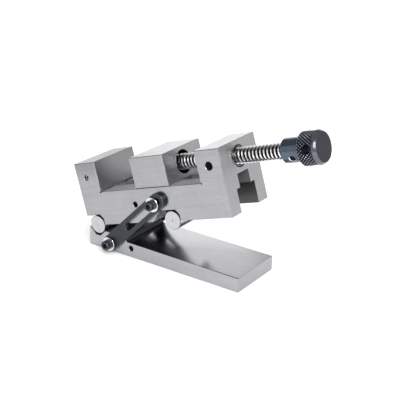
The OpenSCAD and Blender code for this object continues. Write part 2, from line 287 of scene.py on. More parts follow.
def faced_end(name, centres, body=True, tone=0.72, rough=0.2):
    """Ends of the rollers: faced in a lathe, with rings round each centre."""
    t = Tree(name)
    p = t.coords(body)
    x, y, z = t.separate(p)
    # distance from the nearer of the centres, which lie on one line along the length
    d = None
    for c in centres:
        dx = t.math("SUBTRACT", x, c[0])
        dz = t.math("SUBTRACT", z, c[1])
        r = t.math("SQRT", t.math("ADD", t.math("MULTIPLY", dx, dx), t.math("MULTIPLY", dz, dz)))
        d = r if d is None else t.math("MINIMUM", d, r)
    rings = t.noise(t.combine(t.math("MULTIPLY", d, 2.6), 0.0, 0.0), 1.0, 3.0, 0.7)
    cloud = t.noise(p, 0.35, 3.0, 0.55)
    m = t.remap(t.math("ADD", t.math("MULTIPLY", rings, 0.6), t.math("MULTIPLY", cloud, 0.4)), 0.3, 0.7, 0, 1)
    centre = t.remap(d, 0.6, 1.4, 0.90, 1.0)
    col = t.mix_color(m, grey(tone * 0.90, 0.995, 1.04), grey(tone * 1.10, 0.995, 1.03))
    dark = t.mix_color(centre, grey(0.3), col)
    t.set(color=dark, metallic=1.0, roughness=t.remap(m, 0, 1, rough * 1.25, rough * 0.85))
    t.bump(rings, 0.15, 0.00003)
    return t.mat


def black_oxide(name, body=True, tone=0.05, blue=1.25, rough=0.3, metallic=0.85, grain_axis=None, worn=0.16, coat=0.0, red=0.9):
    """Blue-black oxide on steel, a little rubbed on its edges."""
    t = Tree(name)
    p = t.coords(body)
    if grain_axis is None:
        f = t.noise(p, 0.9, 4.0, 0.6)
    else:
        s = [1.6] * 3
        s[grain_axis] = 0.08
        f = t.noise(t.scaled(p, tuple(s)), 1.0, 3.0, 0.65)
    cloud = t.noise(p, 0.11, 3.0, 0.55)
    m = t.remap(t.math("ADD", t.math("MULTIPLY", f, 0.55), t.math("MULTIPLY", cloud, 0.45)), 0.3, 0.7, 0, 1)
    a = (tone * 0.84 * red, tone * 0.84, tone * 0.84 * blue, 1)
    b = (tone * 1.16 * red, tone * 1.16, tone * 1.16 * blue, 1)
    col = t.mix_color(m, a, b)
    col = wear(t, col, grey(worn, 0.97, 1.05), 0.75, 0.00045)
    t.set(color=col, metallic=metallic, roughness=t.remap(m, 0, 1, rough * 1.2, rough * 0.85), coat=coat, coat_rough=0.12)
    t.bump(f, 0.12, 0.00004)
    return t.mat


def knurl_crest(x):
    """Radius of the knurl's tips at x mm behind the collar's free end: it necks a little before the rim."""
    return 16.1 - 0.4 * math.exp(-((x - 31.0) / 3.0) ** 2)


def knurl_oxide(name, low, high, tone=0.04, worn=0.2):
    """Blued knurl: painted shade in the dark grooves, rubbed tips. The depth below the tips tells them apart: dark at
    low, bright at high.
    """
    t = Tree(name)
    p = t.coords(True)
    x, y, z = t.separate(p)
    dz = t.math("SUBTRACT", z, SCREW_V)
    r = t.math("SQRT", t.math("ADD", t.math("MULTIPLY", y, y), t.math("MULTIPLY", dz, dz)))
    g = t.math("DIVIDE", t.math("SUBTRACT", x, KNOB_U + 31.0), 3.0)
    neck = t.math("EXPONENT", t.math("MULTIPLY", t.math("MULTIPLY", g, g), -1.0))
    depth = t.math("SUBTRACT", t.math("SUBTRACT", 16.1, t.math("MULTIPLY", neck, 0.4)), r)
    k = t.remap(depth, low, high, 0.0, 1.0)
    f = t.noise(p, 0.8, 3.0, 0.6)
    k = t.math("MULTIPLY", t.math("POWER", k, 1.2), t.remap(f, 0.3, 0.7, 0.6, 1.0))
    col = t.mix_color(k, (tone * 0.8, tone * 0.9, tone * 1.3, 1), (worn * 0.93, worn * 0.96, worn * 1.16, 1))
    t.set(color=col, metallic=0.9, roughness=t.remap(f, 0.3, 0.7, 0.42, 0.32))
    t.bump(f, 0.1, 0.00004)
    return t.mat


def from_axis(t, p, u, v, across_u=False):
    """Distance in mm from an axis of the body: across it at (u, v), or along it at height v."""
    x, y, z = t.separate(p)
    a = t.math("SUBTRACT", x, u) if across_u else y
    b = t.math("SUBTRACT", z, v)
    return t.math("SQRT", t.math("ADD", t.math("MULTIPLY", a, a), t.math("MULTIPLY", b, b)))


def plug_face(name):
    """End of the work stop's plug: painted shade on the dark thread and rim and in the dark socket, worn land."""
    t = Tree(name)
    p = t.coords(True)
    r = from_axis(t, p, 0.9, 50.5, True)
    f = t.noise(p, 1.2, 3.0, 0.6)
    # painted shade on the rim and in the socket; the land between stays bright
    land = t.math("MULTIPLY", t.remap(r, 2.55, 2.25, 0.0, 1.0), t.remap(r, 0.9, 1.3, 0.35, 1.0))
    land = t.math("MULTIPLY", land, t.remap(f, 0.3, 0.7, 0.6, 1.0))
    col = t.mix_color(land, (0.02, 0.021, 0.024, 1), (0.62, 0.625, 0.65, 1))
    t.set(color=col, metallic=0.9, roughness=t.remap(f, 0.3, 0.7, 0.42, 0.3))
    t.bump(f, 0.15, 0.00004)
    return t.mat


def notch_edge_painted_shadow(name):
    """Broken edge of the roller's notch: painted shadow, black beside the roller, ground steel further out."""
    t = Tree(name)
    p = t.coords(True)
    x, y, z = t.separate(p)
    f = t.noise(p, 0.9, 3.0, 0.6)
    k = t.remap(x, -6.5, -5.0, 0.0, 1.0)
    a = t.mix_color(f, grey(0.30, 0.99, 1.03), grey(0.34, 0.99, 1.03))
    b = t.mix_color(f, grey(0.006, 0.95, 1.1), grey(0.016, 0.95, 1.1))
    t.set(color=t.mix_color(k, a, b), metallic=t.remap(k, 0, 1, 1.0, 0.5), roughness=t.remap(k, 0, 1, 0.3, 0.6))
    t.bump(f, 0.2, 0.00005)
    return t.mat


def bronze(name):
    t = Tree(name)
    p = t.coords(True)
    x, y, z = t.separate(p)
    dz = t.math("SUBTRACT", z, SCREW_V)
    r = t.math("SQRT", t.math("ADD", t.math("MULTIPLY", y, y), t.math("MULTIPLY", dz, dz)))
    rings = t.noise(t.combine(t.math("MULTIPLY", r, 4.0), t.math("MULTIPLY", x, 1.5), 0.0), 1.0, 3.0, 0.7)
    cloud = t.noise(p, 0.3, 3.0, 0.6)
    m = t.remap(t.math("ADD", t.math("MULTIPLY", rings, 0.5), t.math("MULTIPLY", cloud, 0.5)), 0.3, 0.7, 0, 1)
    col = t.mix_color(m, (0.16, 0.142, 0.12, 1), (0.26, 0.235, 0.20, 1))
    # painted shade: a dark gap at the rim and a dark chamfer at the bore
    col = t.mix_color(t.remap(r, 9.55, 9.85, 0.0, 1.0), col, (0.02, 0.018, 0.015, 1))
    col = t.mix_color(t.remap(r, 9.1, 8.8, 0.0, 1.0), col, (0.03, 0.026, 0.02, 1))
    t.set(color=col, metallic=1.0, roughness=t.remap(m, 0, 1, 0.40, 0.28))
    t.bump(rings, 0.2, 0.00004)
    return t.mat


def thread_steel(name, tone=0.66, rough=0.17):
    """Turned thread: bright crests and flanks, painted shade in the dark roots. The distance from the screw's axis
    picks the root.
    """
    t = Tree(name)
    p = t.coords(True)
    x, y, z = t.separate(p)
    dz = t.math("SUBTRACT", z, SCREW_V)
    r = t.math("SQRT", t.math("ADD", t.math("MULTIPLY", y, y), t.math("MULTIPLY", dz, dz)))
    root = t.remap(r, 6.2, 7.8, 1.0, 0.0)
    marks = t.noise(t.combine(t.math("MULTIPLY", x, 7.0), t.math("MULTIPLY", y, 0.3), t.math("MULTIPLY", z, 0.3)), 1.0, 3.0, 0.65)
    m = t.remap(marks, 0.3, 0.7, 0, 1)
    col = t.mix_color(m, grey(tone * 0.92, 1.0, 1.0), grey(tone * 1.05, 1.0, 1.0))
    # painted shade in the thread's roots
    col = t.mix_color(root, col, grey(0.035, 1.0, 1.0))
    t.set(color=col, metallic=1.0, roughness=t.math("ADD", t.remap(m, 0, 1, rough * 1.2, rough * 0.85), t.math("MULTIPLY", root, 0.2)))
    t.bump(marks, 0.12, 0.00003)
    return t.mat


# ---------------------------------------------------------------- materials
M = {
    # painted shade on the fixed jaw: its upper side and its top are darkened through shade
    "body_len": ground_steel("ground_steel_body", 0, True, tone=0.32, streak=0.11, shade=(20.0, 40.0, 46.0, 60.0, 0.78)),
    "body_top": ground_steel("ground_steel_tops", 0, True, tone=0.385, rough=0.2, shade=(30.0, 40.0, 60.0, 62.0, 0.82)),
    "body_end": ground_steel("ground_steel_body_ends", 1, True, tone=0.39, rough=0.36, aniso=0.88, line=0.5, streak=0.06),
    "fixed_face": ground_steel("ground_steel_fixed_jaw_face", 1, True, tone=0.29, rough=0.36, aniso=0.88, line=0.5, streak=0.08),
    "moving_face": ground_steel("ground_steel_moving_jaw_face", 1, True, tone=0.37, rough=0.36, aniso=0.88, line=0.5, streak=0.08),
    # painted light: the bed is a much lighter copy of the ground steel
    "bed": ground_steel("ground_steel_bed_painted_light", 0, True, tone=0.72, rough=0.3, metallic=0.8),
    "base_len": ground_steel("ground_steel_base", 0, False, tone=0.385, streak=0.11),
    "base_top": ground_steel("ground_steel_base_top", 0, False, tone=0.43, rough=0.18, aniso=0.35),
    "base_end": ground_steel("ground_steel_base_ends", 1, False, tone=0.33),
    # painted shade: a darkened copy of the milled steel for the T-slot's lower channel and the shaded hole walls
    "slot": milled_steel("milled_slot", True, tone=0.105, rough=0.42),
    # painted shade fading in from u 140 to 148, where the narrow slot runs under the end block
    "slot_wall": milled_steel("milled_slot_walls", True, tone=0.38, rough=0.5, metallic=0.5, painted_shade_past=(140.0, 148.0, 0.4)),
    "milled": milled_steel("milled_steel", True, tone=0.3, rough=0.34),
    # black scale, made near black as painted shade: the underside, the flats above the rollers and the grinding reliefs
    "under": scale_steel("scale_underside_painted_shade", True, tone=0.014),
    # painted shade: the hinge block's top and step wall under the tilted body
    "under_base": scale_steel("base_painted_shade", False, tone=0.03, rough=0.4),
    # black scale, made blacker as painted shade under the roller
    "vee": scale_steel("scale_vee_painted_shade", False, tone=0.012, rough=0.5),
    "rough": scale_steel("scale_broken", True, tone=0.016, speck=0.8, rough=0.4),
    "bore": milled_steel("drilled_steel", True, tone=0.26, rough=0.35),
    # painted shade: near black inside the moving jaw's cup
    "cup": milled_steel("turned_cup_painted_shade", True, tone=0.05, rough=0.35),
    "bore_base": milled_steel("drilled_steel_base", False, tone=0.26, rough=0.35),
    "roller": round_steel("roller_steel", True, tone=0.5, rough=0.26),
    # painted shade: near-black chamfers at the rollers' ends
    "roller_rim": round_steel("roller_rims_painted_shade", True, tone=0.05, rough=0.4),
    "roller_end": faced_end("roller_ends", [(0.0, 0.0), (100.0, 0.0)], tone=0.44, rough=0.28),
    "strut": black_oxide("blued_strut", False, tone=0.041, blue=1.18, rough=0.3, worn=0.2),
    "knob": black_oxide("blued_knob", True, tone=0.10, blue=1.35, rough=0.16, worn=0.2, red=0.8),
    "knob_rim": black_oxide("blued_knob_rim", True, tone=0.11, blue=1.2, rough=0.16, worn=0.2, red=0.9),
    # painted shade deep in the knurl's grooves; rubbed tips
    "knurl": knurl_oxide("blued_knurl", 0.55, 0.15, tone=0.008, worn=0.6),
    "knob_face": black_oxide("blued_knob_face", True, tone=0.03, blue=1.35, rough=0.34, worn=0.12),
    "screw_black": black_oxide("black_screws", True, tone=0.045, blue=1.3, rough=0.24, worn=0.12),
    "plug_face": plug_face("stop_plug_face"),
    # painted shadow at the notch edges beside the rollers
    "notch_edge_painted_shadow": notch_edge_painted_shadow("notch_edges_painted_shadow"),
    "plug": black_oxide("plug_screws", True, tone=0.22, blue=1.08, rough=0.3, worn=0.35),
    "washer": round_steel("bright_washers", False, tone=0.6, rough=0.26),
    # painted shade on the washers' side walls
    "washer_rim": round_steel("washer_rims_painted_shade", False, tone=0.05, rough=0.3),
    # painted highlight on the washers' chamfers
    "washer_edge": round_steel("washer_edges_painted_highlight", False, tone=0.9, rough=0.16),
    "countersink": round_steel("bright_countersinks", True, tone=0.8, rough=0.16),
    "bright": round_steel("bright_steel", True, tone=0.7, rough=0.2),
    "thread": thread_steel("thread_steel", tone=0.8, rough=0.15),
    "bronze": bronze("nut_bronze_turned"),
}


# ---------------------------------------------------------------- mesh helpers
def add_object(name, bm, mats, body, replaces, weighted=False, sharp=35.0):
    bm.normal_update()
    for e in bm.edges:
        if len(e.link_faces) == 2:
            e.smooth = e.calc_face_angle(0.0) < math.radians(sharp)
        else:
            e.smooth = False
    me = bpy.data.meshes.new(name)
    bm.to_mesh(me)
    bm.free()
    for m in mats:
        me.materials.append(m)
    ob = bpy.data.objects.new(name, me)
    bpy.context.scene.collection.objects.link(ob)
    if weighted:
        wn = ob.modifiers.new("weighted", "WEIGHTED_NORMAL")
        wn.mode = "FACE_AREA"
        wn.weight = 80
        wn.keep_sharp = True
    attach(ob, body)
    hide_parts(*replaces)
    return ob


def broken_edges(bm, widths):
    """bm with its edges broken, each by its own width. widths is a list of (edge number, width in metres)."""
    wide = max(w for i, w in widths)
    layer = bm.edges.layers.float.new("bevel_weight_edge")
    bm.edges.ensure_lookup_table()
    for i, w in widths:
        bm.edges[i][layer] = w / wide
    me = bpy.data.meshes.new("sharp")
    bm.to_mesh(me)
    bm.free()
    ob = bpy.data.objects.new("sharp", me)
    bpy.context.scene.collection.objects.link(ob)
    mod = ob.modifiers.new("broken", "BEVEL")
    mod.limit_method = "WEIGHT"
    mod.offset_type = "OFFSET"
    mod.width = wide
    mod.segments = 1
    mod.use_clamp_overlap = False
    mod.loop_slide = False
    bpy.context.view_layer.update()
    ev = ob.evaluated_get(bpy.context.evaluated_depsgraph_get())
    out = bmesh.new()
    out.from_mesh(ev.to_mesh())
    ev.to_mesh_clear()
    bpy.data.objects.remove(ob)
    bpy.data.meshes.remove(me)
    lay = out.edges.layers.float.get("bevel_weight_edge")
    if lay:
        out.edges.layers.float.remove(lay)
    return out


def refine(node, name, body, mats, choose, edge_mm=0.5, rim_mm=0.25, skip=None, segments=2, rim_len=2.2, wide=None):
    """A copy of a CAD node with broken edges and a material for each kind of face.

    choose(centre_mm, normal, face) gives the index into mats. skip(a_mm, b_mm) leaves an edge as it is,
    wide(a_mm, b_mm) gives a width in mm to break it by in place of edge_mm, or None."""
    local = to_base if body == "base_plate" else to_body
    bm = bmesh.new()
    bm.from_mesh(NODES[node].data)
    bmesh.ops.remove_doubles(bm, verts=bm.verts, dist=2e-6)
    bmesh.ops.dissolve_limit(bm, angle_limit=math.radians(0.4), use_dissolve_boundaries=False, verts=bm.verts, edges=bm.edges, delimit=set())
    bm.normal_update()

    def pick(low, high):
        got = []
        for e in bm.edges:
            if len(e.link_faces) != 2 or not e.is_convex:
                continue
            if e.calc_face_angle(0.0) < math.radians(34):
                continue
            length = e.calc_length() / MM
            if not low <= length < high:
                continue
            a, b = local(e.verts[0].co), local(e.verts[1].co)
            if skip and skip(a, b):
                continue
            got.append(e)
        return got

    if edge_mm and wide:
        bm.edges.index_update()
        got = pick(rim_len, 1e9)
        bm = broken_edges(bm, [(e.index, (wide(local(e.verts[0].co), local(e.verts[1].co)) or edge_mm) * MM) for e in got])
    elif edge_mm:
        bmesh.ops.bevel(bm, geom=pick(rim_len, 1e9), offset=edge_mm * MM, offset_type="OFFSET", segments=segments, profile=0.5,
                        affect="EDGES", clamp_overlap=False, material=-1, loop_slide=False)
    if rim_mm:
        bm.normal_update()
        rims = [e for e in pick(0.0, rim_len) if e.calc_face_angle(0.0) > math.radians(60)]
        if rims:
            bmesh.ops.bevel(bm, geom=rims, offset=rim_mm * MM, offset_type="OFFSET", segments=1, profile=0.5,
                            affect="EDGES", clamp_overlap=False, material=-1, loop_slide=False)
    bm.normal_update()
    for f in bm.faces:
        n = f.normal
        if body != "base_plate":
            n = Vector((n.x * CT + n.z * ST, n.y, -n.x * ST + n.z * CT))
        f.material_index = choose(local(f.calc_center_median()), n, f)
        f.smooth = True
    return add_object(name, bm, mats, body, [node], weighted=True)


def spin(rings, seg, frame_of, close=True):
    """A closed body of revolution. rings is a list of (u, radius); a radius of 0 is a pole. frame_of(u, a, r) places a point."""
    bm = bmesh.new()
    rows = []
    for u, r in rings:
        if r <= 1e-9:
            rows.append([bm.verts.new(frame_of(u, 0.0, 0.0))])
        else:
            rows.append([bm.verts.new(frame_of(u, 2 * math.pi * i / seg, r)) for i in range(seg)])
    faces = []
    for k in range(len(rows) - 1):
        a, b = rows[k], rows[k + 1]
        for i in range(seg):
            j = (i + 1) % seg
            if len(a) == 1 and len(b) == 1:
                continue
            if len(a) == 1:
                faces.append(bm.faces.new((a[0], b[i], b[j])))
            elif len(b) == 1:
                faces.append(bm.faces.new((a[i], b[0], a[j])))
            else:
                faces.append(bm.faces.new((a[i], b[i], b[j], a[j])))
    bmesh.ops.recalc_face_normals(bm, faces=bm.faces)
    for f in bm.faces:
        f.smooth = True
    return bm


def along_screw(u, a, r):
    """Angle 0 faces the front (-Y); it grows towards the top."""
    return from_body(u, -r * math.cos(a), SCREW_V + r * math.sin(a))


# ---------------------------------------------------------------- the big ground blocks
def body_kind(c, n, f):
    u, y, v = c
    inside_channel = abs(y) < 15.45 and v < 21.95
    inside_slot = abs(y) < 9.45 and v < 35.0
    # painted shade: the T-slot's lower channel takes the darkened slot steel
    if abs(abs(y) - 15.5) < 0.06 and v < 22.2 and abs(n.y) > 0.9:
        return 2
    if abs(v - 22.0) < 0.06 and abs(y) < 15.6 and n.z < -0.9:
        return 2
    if abs(abs(y) - 9.5) < 0.06 and v < 35.4 and abs(n.y) > 0.9:
        return 9
    if inside_slot and v > 22.1:
        return 9
    if inside_channel or inside_slot:
        return 2
    if abs(v - 35.1) < 0.06 and abs(y) < 9.6:
        return 9
    # painted shadow on the notch edges beside the rollers
    if abs(y) > 31.0 and 0.3 < abs(n.y) < 0.93 and 4.6 < v < 10.6 and (u < 10.6 or 85.0 < u < 110.6) and u > -11.5:
        return 10
    # 45 degree wall of the notch and the flats above the rollers
    if 74.0 < u < 88.0 and v < 10.3 and abs(n.x) > 0.6 and n.z < -0.6:
        return 4
    # black scale made near black as painted shade, on the underside and the flats above the rollers
    if v < 10.4 and n.z < -0.5 or (v < 10.2 and abs(n.x) > 0.5 and abs(y) < 31.45 and u < 112):
        return 3
    # holes
    r = math.hypot(y, v - SCREW_V)
    if r < 10.7 and u > 144.3 and abs(n.x) < 0.5:
        return 5
    # painted shade: the nut bore's chamfer and the stop hole's wall take the darkened slot steel
    if 10.4 < r < 11.2 and u > 171.3 and 0.3 < abs(n.x) < 0.9:
        return 2
    if math.hypot(u - 0.9, v - 50.5) < 3.12 and abs(n.y) < 0.5:
        return 2
    if n.z > 0.9 and abs(v - 34.5) < 0.3:
        return 7
    if n.z > 0.9 and v > 65.5:
        return 6
    for hu, hv, hr in ((158.25, 50.2, 4.4), (0.9, 50.5, 3.1), (83.5, 18.5, 3.1), (57.6, 18.5, 3.1)):
        if math.hypot(u - hu, v - hv) < hr + 0.02 and abs(n.y) < 0.5:
            return 5
    # grinding reliefs: painted shade, near black in the grooves
    if math.hypot(u - 16.0, v - 34.5) < 3.3 and not (abs(n.x) > 0.98 or abs(n.z) > 0.98 or abs(n.y) > 0.98):
        return 3
    if math.hypot(u - 144.5, v - 34.5) < 3.0 and not (abs(n.x) > 0.98 or abs(n.z) > 0.98 or abs(n.y) > 0.98):
        return 3
    if abs(n.x) > 0.85:
        return 8 if u < 20.0 else 1
    return 0


def front_top_edge(a, b):
    """The long upper edges of the front side carry a wide break."""
    return 0.5 if abs(a.y - b.y) < 0.05 and abs(a.z - b.z) < 0.05 and a.y < -25.0 and a.z > 14.0 else None


def by_notch(p):
    return 4.8 < p.z < 10.2 and (p.x < 10.2 or 86.0 < p.x < 110.2)


def body_edge(a, b):
    """As above; the notches' edges beside the rollers are broken widest."""
    if abs(a.y - b.y) < 0.05 and abs(a.y) > 31.0 and by_notch(a) and by_notch(b):
        return 0.7
    return front_top_edge(a, b)


def base_edge(a, b):
    """As above; the vee's edges are broken widest."""
    if abs(a.y - b.y) < 0.05 and abs(a.y) > 31.0 and all(-90.2 < p.x < -71.7 and 13.0 < p.z < 19.9 for p in (a, b)):
        return 0.7
    return front_top_edge(a, b)


def body_skip(a, b):
    m = (a + b) / 2
    for cu in (16.0, 144.5):
        if math.hypot(m.x - cu, m.z - 34.5) < 3.3:
            return True
    # walls under the bed stay sharp
    if abs(m.y) < 16.3 and m.z < 35.4 and m.x < 171.5:
        return True
    return False


refine("vise_body", "vise_body_ground", "tilting_body",
       [M["body_len"], M["body_end"], M["slot"], M["under"], M["rough"], M["bore"], M["body_top"], M["bed"], M["fixed_face"],
        M["slot_wall"], M["notch_edge_painted_shadow"]], body_kind,
       edge_mm=0.22, rim_mm=0.22, skip=body_skip, segments=1, wide=body_edge)


def jaw_kind(c, n, f):
    u, y, v = c
    if v < 34.4:
        return 2
    # painted shade: the cup round the screw is near black
    if math.hypot(y, v - SCREW_V) < 12.1 and u > 93.0 and (abs(n.x) < 0.5 or u < 105.0):
        return 3
    if abs(n.x) > 0.85:
        return 1
    if n.z > 0.9:
        return 4
    return 0


refine("moving_jaw", "moving_jaw_ground", "jaw_carriage",
       [M["body_len"], M["moving_face"], M["milled"], M["cup"], M["body_top"]], jaw_kind, edge_mm=0.22, rim_mm=0.3,
       skip=lambda a, b: (a + b).z / 2 < 34.5, segments=1, wide=front_top_edge)
refine("hold_down_plate", "hold_down_plate_ground", "jaw_carriage",
       [M["milled"]], lambda c, n, f: 0, edge_mm=0.4, rim_mm=0.2)


def base_kind(c, n, f):
    x, y, z = c
    for hx in (-62.45, -37.45):
        if math.hypot(x - hx, z - 9.5) < 3.1 and abs(n.y) < 0.5:
            return 3
    # painted shade: the vee and its chamfers under the roller take the near-black vee steel
    if -90.2 < x < -71.7 and 13.0 < z < 19.7 and abs(n.y) < 0.93 and abs(n.z) < 0.999:
        return 4
    if -90.2 < x < -71.7 and 13.0 < z < 14.0 and abs(n.y) < 0.5:
        return 4
    if n.z > 0.95 and abs(z - 15.0) < 0.05:
        return 1
    # painted shade: the hinge block's top and its step wall, under the tilted body, are near black
    if n.z > 0.9 and z > 19.0 or (-44.4 < x < -41.6 and 15.0 < z < 19.9 and abs(n.y) < 0.5):
        return 5
    if abs(n.x) > 0.85:
        return 2
    return 0


refine("base", "base_ground", "base_plate",
       [M["base_len"], M["base_top"], M["base_end"], M["bore_base"], M["vee"], M["under_base"]], base_kind, edge_mm=0.22, rim_mm=0.22,
       skip=lambda a, b: -72.5 < (a + b).x / 2 < -70.5 and 13 < (a + b).z / 2 < 14.5, segments=1, wide=base_edge)


# ---------------------------------------------------------------- rollers
def roller_kind(c, n, f):
    if abs(c.y) < 29.0 or abs(n.y) < 0.2:
        return 0
    out = min(math.hypot(c.x, c.z), math.hypot(c.x - 100.0, c.z))
    # painted shade: the end chamfers are near black
    return 2 if abs(n.y) < 0.9 and out > 8.0 else 1


for nm in ("hinge_roller", "sine_roller"):
    refine(nm, nm + "_lapped", "tilting_body", [M["roller"], M["roller_end"], M["roller_rim"]], roller_kind, edge_mm=0.0, rim_mm=0.0)

# ---------------------------------------------------------------- struts and washers
for nm, bd in (("near_strut", "near_strut_arm"), ("far_strut", "far_strut_arm")):
    refine(nm, nm + "_blued", bd, [M["strut"]], lambda c, n, f: 0, edge_mm=0.35, rim_mm=0.3)


# painted shade on the washers' side walls, painted highlight on their chamfers
for nm, bd in (("lower_washers", "base_plate"), ("upper_washers", "tilting_body")):
    refine(nm, nm + "_bright", bd, [M["washer"], M["washer_rim"], M["washer_edge"]],
           lambda c, n, f: 0 if abs(n.y) > 0.95 else 1 if abs(n.y) < 0.2 else 2, edge_mm=0.0, rim_mm=0.28)

# ---------------------------------------------------------------- small fasteners that keep their shape
for nm, mt in (("roller_screws", "screw_black"), ("nut_lock_screw", "plug"), ("stop_hole_plug", "plug_face")):
    refine(nm, nm + "_black", "tilting_body", [M[mt]], lambda c, n, f: 0, edge_mm=0.0, rim_mm=0.1)
refine("hold_down_screws", "hold_down_screws_black", "jaw_carriage", [M["screw_black"]], lambda c, n, f: 0, edge_mm=0.0, rim_mm=0.1)
for nm in ("retaining_pins", "thrust_pad"):
    refine(nm, nm + "_bright", "jaw_carriage", [M["bright"]], lambda c, n, f: 0, edge_mm=0.0, rim_mm=0.15)
refine("knob_set_screw", "knob_set_screw_black", "screw_assembly", [M["screw_black"]], lambda c, n, f: 0, edge_mm=0.0, rim_mm=0.12)


# ---------------------------------------------------------------- clamp screws
def clamp_screw(name, node, body, centre, direction, side_vec):
    """Socket head cap screw with a finely ribbed head. centre is on the head's underside, direction points out of the head."""
    d = direction.normalized()
    s = side_vec.normalized()
    w = d.cross(s)
    ribs = 36
    seg = ribs * 4
    bm = bmesh.new()

    def at(h, a, r):
        return centre + d * (h * MM) + s * (r * MM * math.cos(a)) + w * (r * MM * math.sin(a))

    def ring(h, r, rib=0.0):
        return [bm.verts.new(at(h, 2 * math.pi * i / seg, r - (rib if i % 4 in (0, 1) else 0.0))) for i in range(seg)]

    # socket: six flats, given as a radius at each angle
    def hexr(a, af):
        k = (a + math.pi / 6) % (math.pi / 3) - math.pi / 6
        return af / 2 / math.cos(k)

    def hexring(h, af):
        return [bm.verts.new(at(h, 2 * math.pi * i / seg, hexr(2 * math.pi * i / seg, af))) for i in range(seg)]

    rows = [
        ring(-16.95, 2.3), ring(-16.3, 2.95), ring(0.0, 2.95), ring(0.0, 4.35), ring(0.25, 4.6), ring(0.45, 4.98, 0.16),
        ring(5.15, 4.98, 0.16), ring(5.45, 4.75), ring(5.98, 4.35), ring(6.0, 3.55), hexring(5.6, 5.02), hexring(2.9, 5.0)]
    cap0 = bm.faces.new(list(reversed(rows[0])))
    for a, b in zip(rows, rows[1:]):
        for i in range(seg):
            j = (i + 1) % seg
            bm.faces.new((a[i], a[j], b[j], b[i]))
    tip = bm.verts.new(at(2.2, 0, 0))
    last = rows[-1]
    for i in range(seg):
        bm.faces.new((last[i], last[(i + 1) % seg], tip))
    bmesh.ops.recalc_face_normals(bm, faces=bm.faces)
    for f in bm.faces:
        f.smooth = True
    cap0.smooth = False
    return add_object(name, bm, [M["screw_black"]], body, [node], sharp=28.0)


HEAD_Y = 31.5 + 0.1 + 4.4 + 0.05 + 1.6
for side, tag in ((-1, "near"), (1, "far")):
    out = Vector((0, side, 0))
    low = Vector((-62.45 * MM, side * HEAD_Y * MM, 9.5 * MM))
    clamp_screw("lower_clamp_screw_%s_black" % tag, "lower_clamp_screw_%s" % tag, "lower_screw_%s" % tag, low, out, Vector((0.94, 0, 0.34)))
    up = from_body(83.5, side * HEAD_Y, 18.5)
    clamp_screw("upper_clamp_screw_%s_black" % tag, "upper_clamp_screw_%s" % tag, "upper_screw_%s" % tag, up, out, Vector((0.8, 0, 0.6)))

# ---------------------------------------------------------------- thread
PITCH = 4.0
CREST_R, ROOT_R = 7.98, 5.78
# one pitch of the thread: (share of the pitch, radius)
THREAD = [(0.0, CREST_R), (0.33, CREST_R), (0.33 + 0.142, ROOT_R), (1.0 - 0.142, ROOT_R)]


def thread_points(a, u0, u1, grow=0.0):
    """The thread's outline at one angle, from u0 to u1: the same number of points at each angle, those past an end lying on it."""
    pts = []
    turns = int((u1 - u0) / PITCH) + 3
    start = u0 - PITCH * 1.5 + 0.8
    # a right-hand thread: the angle grows against the way that it advances
    shift = PITCH * (1.0 - a / (2 * math.pi))
    knots = []
    for k in range(-1, turns + 1):
        for s, r in THREAD:
            knots.append((start + shift + (k + s) * PITCH, r + grow))
    # radius where the outline meets the ends
    def radius(u):
        for (ua, ra), (ub, rb) in zip(knots, knots[1:]):
            if ua <= u <= ub:
                return ra + (rb - ra) * (u - ua) / max(ub - ua, 1e-9)
        return ROOT_R
    r0, r1 = radius(u0), radius(u1)
    for u, r in knots:
        if u <= u0:
            pts.append((u0, r0))
        elif u >= u1:
            pts.append((u1, r1))
        else:
            pts.append((u, r))
    return pts


def turned(name, before, thread, after, seg, body, replaces, mats, grow=0.0, limit=None, pick=None, cut=None):
    """A turned piece with a thread: before and after are plain rings (u, r), thread is (u0, u1)."""
    bm = bmesh.new()
    cols = []
    for i in range(seg):
        a = 2 * math.pi * i / seg
        pts = [(u, r) for u, r in before]
        th = thread_points(a, thread[0], thread[1], grow)
        if limit:
            th = [(u, limit(u, r)) for u, r in th]
        pts += th
        pts += [(u, r) for u, r in after]
        cols.append([bm.verts.new(along_screw(u, a, r)) for u, r in pts])
    n = len(cols[0])
    nb = len(before)
    na = len(after)
    k = len(THREAD)
    for i in range(seg):
        a = cols[i]
        last = i == seg - 1
        b = cols[(i + 1) % seg]
        if not last:
            for q in range(n - 1):
                bm.faces.new((a[q], a[q + 1], b[q + 1], b[q]))
        else:
            # join the last column to the first with the thread's knots moved on by one pitch
            for q in range(nb - 1):
                bm.faces.new((a[q], a[q + 1], b[q + 1], b[q]))
            t0 = nb
            t1 = n - na
            for q in range(t0, t1 - 1 - k):
                bm.faces.new((a[q + k], a[q + k + 1], b[q + 1], b[q]))
            # ends: every skipped point lies on the same end point
            if nb:
                bm.faces.new((a[nb - 1], a[nb], b[nb], b[nb - 1]))
            if na:
                bm.faces.new((a[n - na - 1], a[n - na], b[n - na], b[n - na - 1]))
            for q in range(n - na, n - 1):
                bm.faces.new((a[q], a[q + 1], b[q + 1], b[q]))
    bmesh.ops.remove_doubles(bm, verts=bm.verts, dist=1e-7)
    bmesh.ops.dissolve_degenerate(bm, dist=1e-7, edges=bm.edges)
    bmesh.ops.recalc_face_normals(bm, faces=bm.faces)
    for f in bm.faces:
        f.smooth = True
        f.material_index = pick(to_body(f.calc_center_median())) if pick else 0
    return add_object(name, bm, mats, body, replaces, sharp=32.0)


RUN_IN = 97.5


def screw_limit(u, r):
    # chamfer at the thread's start
    return min(r, 6.3 + max(0.0, u - RUN_IN) * 1.3)


